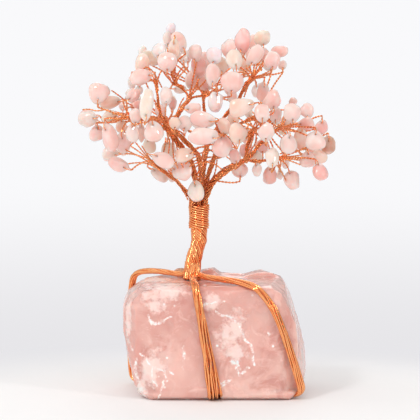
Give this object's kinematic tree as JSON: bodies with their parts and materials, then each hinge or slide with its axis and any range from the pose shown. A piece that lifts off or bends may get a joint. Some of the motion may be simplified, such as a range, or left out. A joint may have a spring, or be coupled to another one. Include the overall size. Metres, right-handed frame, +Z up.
{
  "type": "gemstone tree ornament",
  "caption": "Ornamental tree of drilled rose quartz chips on twisted copper wire twigs, with a wire-wrapped trunk tied by root strands to a rough stone block.",
  "frame": {"origin": "middle of the stone's flat foot, on the surface that the ornament stands on", "axes": "+Z up the trunk, +X to the viewer's right, +Y away from the viewer"},
  "size_m": [0.0969, 0.0683, 0.1401],
  "materials": {
    "copper": "bright drawn copper wire",
    "chips": "tumbled translucent rose quartz",
    "stone": "sawn and broken raw rose quartz, waxy"
  },
  "bodies": {
    "root": {"base_stone": "stone", "chips_back_left": "chips", "chips_back_low": "chips", "chips_back_right": "chips", "chips_back_top": "chips", "chips_bough": "chips", "chips_centre": "chips", "chips_centre_right": "chips", "chips_crossing": "chips", "chips_elbow": "chips", "chips_fork": "chips", "chips_left": "chips", "chips_left_middle": "chips", "chips_low_left": "chips", "chips_low_right": "chips", "chips_right": "chips", "chips_right_middle": "chips", "chips_top": "chips", "chips_top_left": "chips", "chips_top_middle": "chips", "chips_top_right": "chips", "chips_upper_left": "chips", "limb_back": "copper", "limb_centre": "copper", "limb_left": "copper", "limb_low_left": "copper", "limb_middle": "copper", "limb_right": "copper", "root_strand_back": "copper", "root_strand_front": "copper", "root_strand_left": "copper", "root_strand_right": "copper", "trunk_core": "copper", "trunk_wrap": "copper", "twigs_back_left": "copper", "twigs_back_low": "copper", "twigs_back_right": "copper", "twigs_back_top": "copper", "twigs_bough": "copper", "twigs_centre": "copper", "twigs_centre_right": "copper", "twigs_crossing": "copper", "twigs_elbow": "copper", "twigs_fork": "copper", "twigs_left": "copper", "twigs_left_middle": "copper", "twigs_low_left": "copper", "twigs_low_right": "copper", "twigs_right": "copper", "twigs_right_middle": "copper", "twigs_top": "copper", "twigs_top_left": "copper", "twigs_top_middle": "copper", "twigs_top_right": "copper", "twigs_upper_left": "copper"}
  },
  "joints": []
}
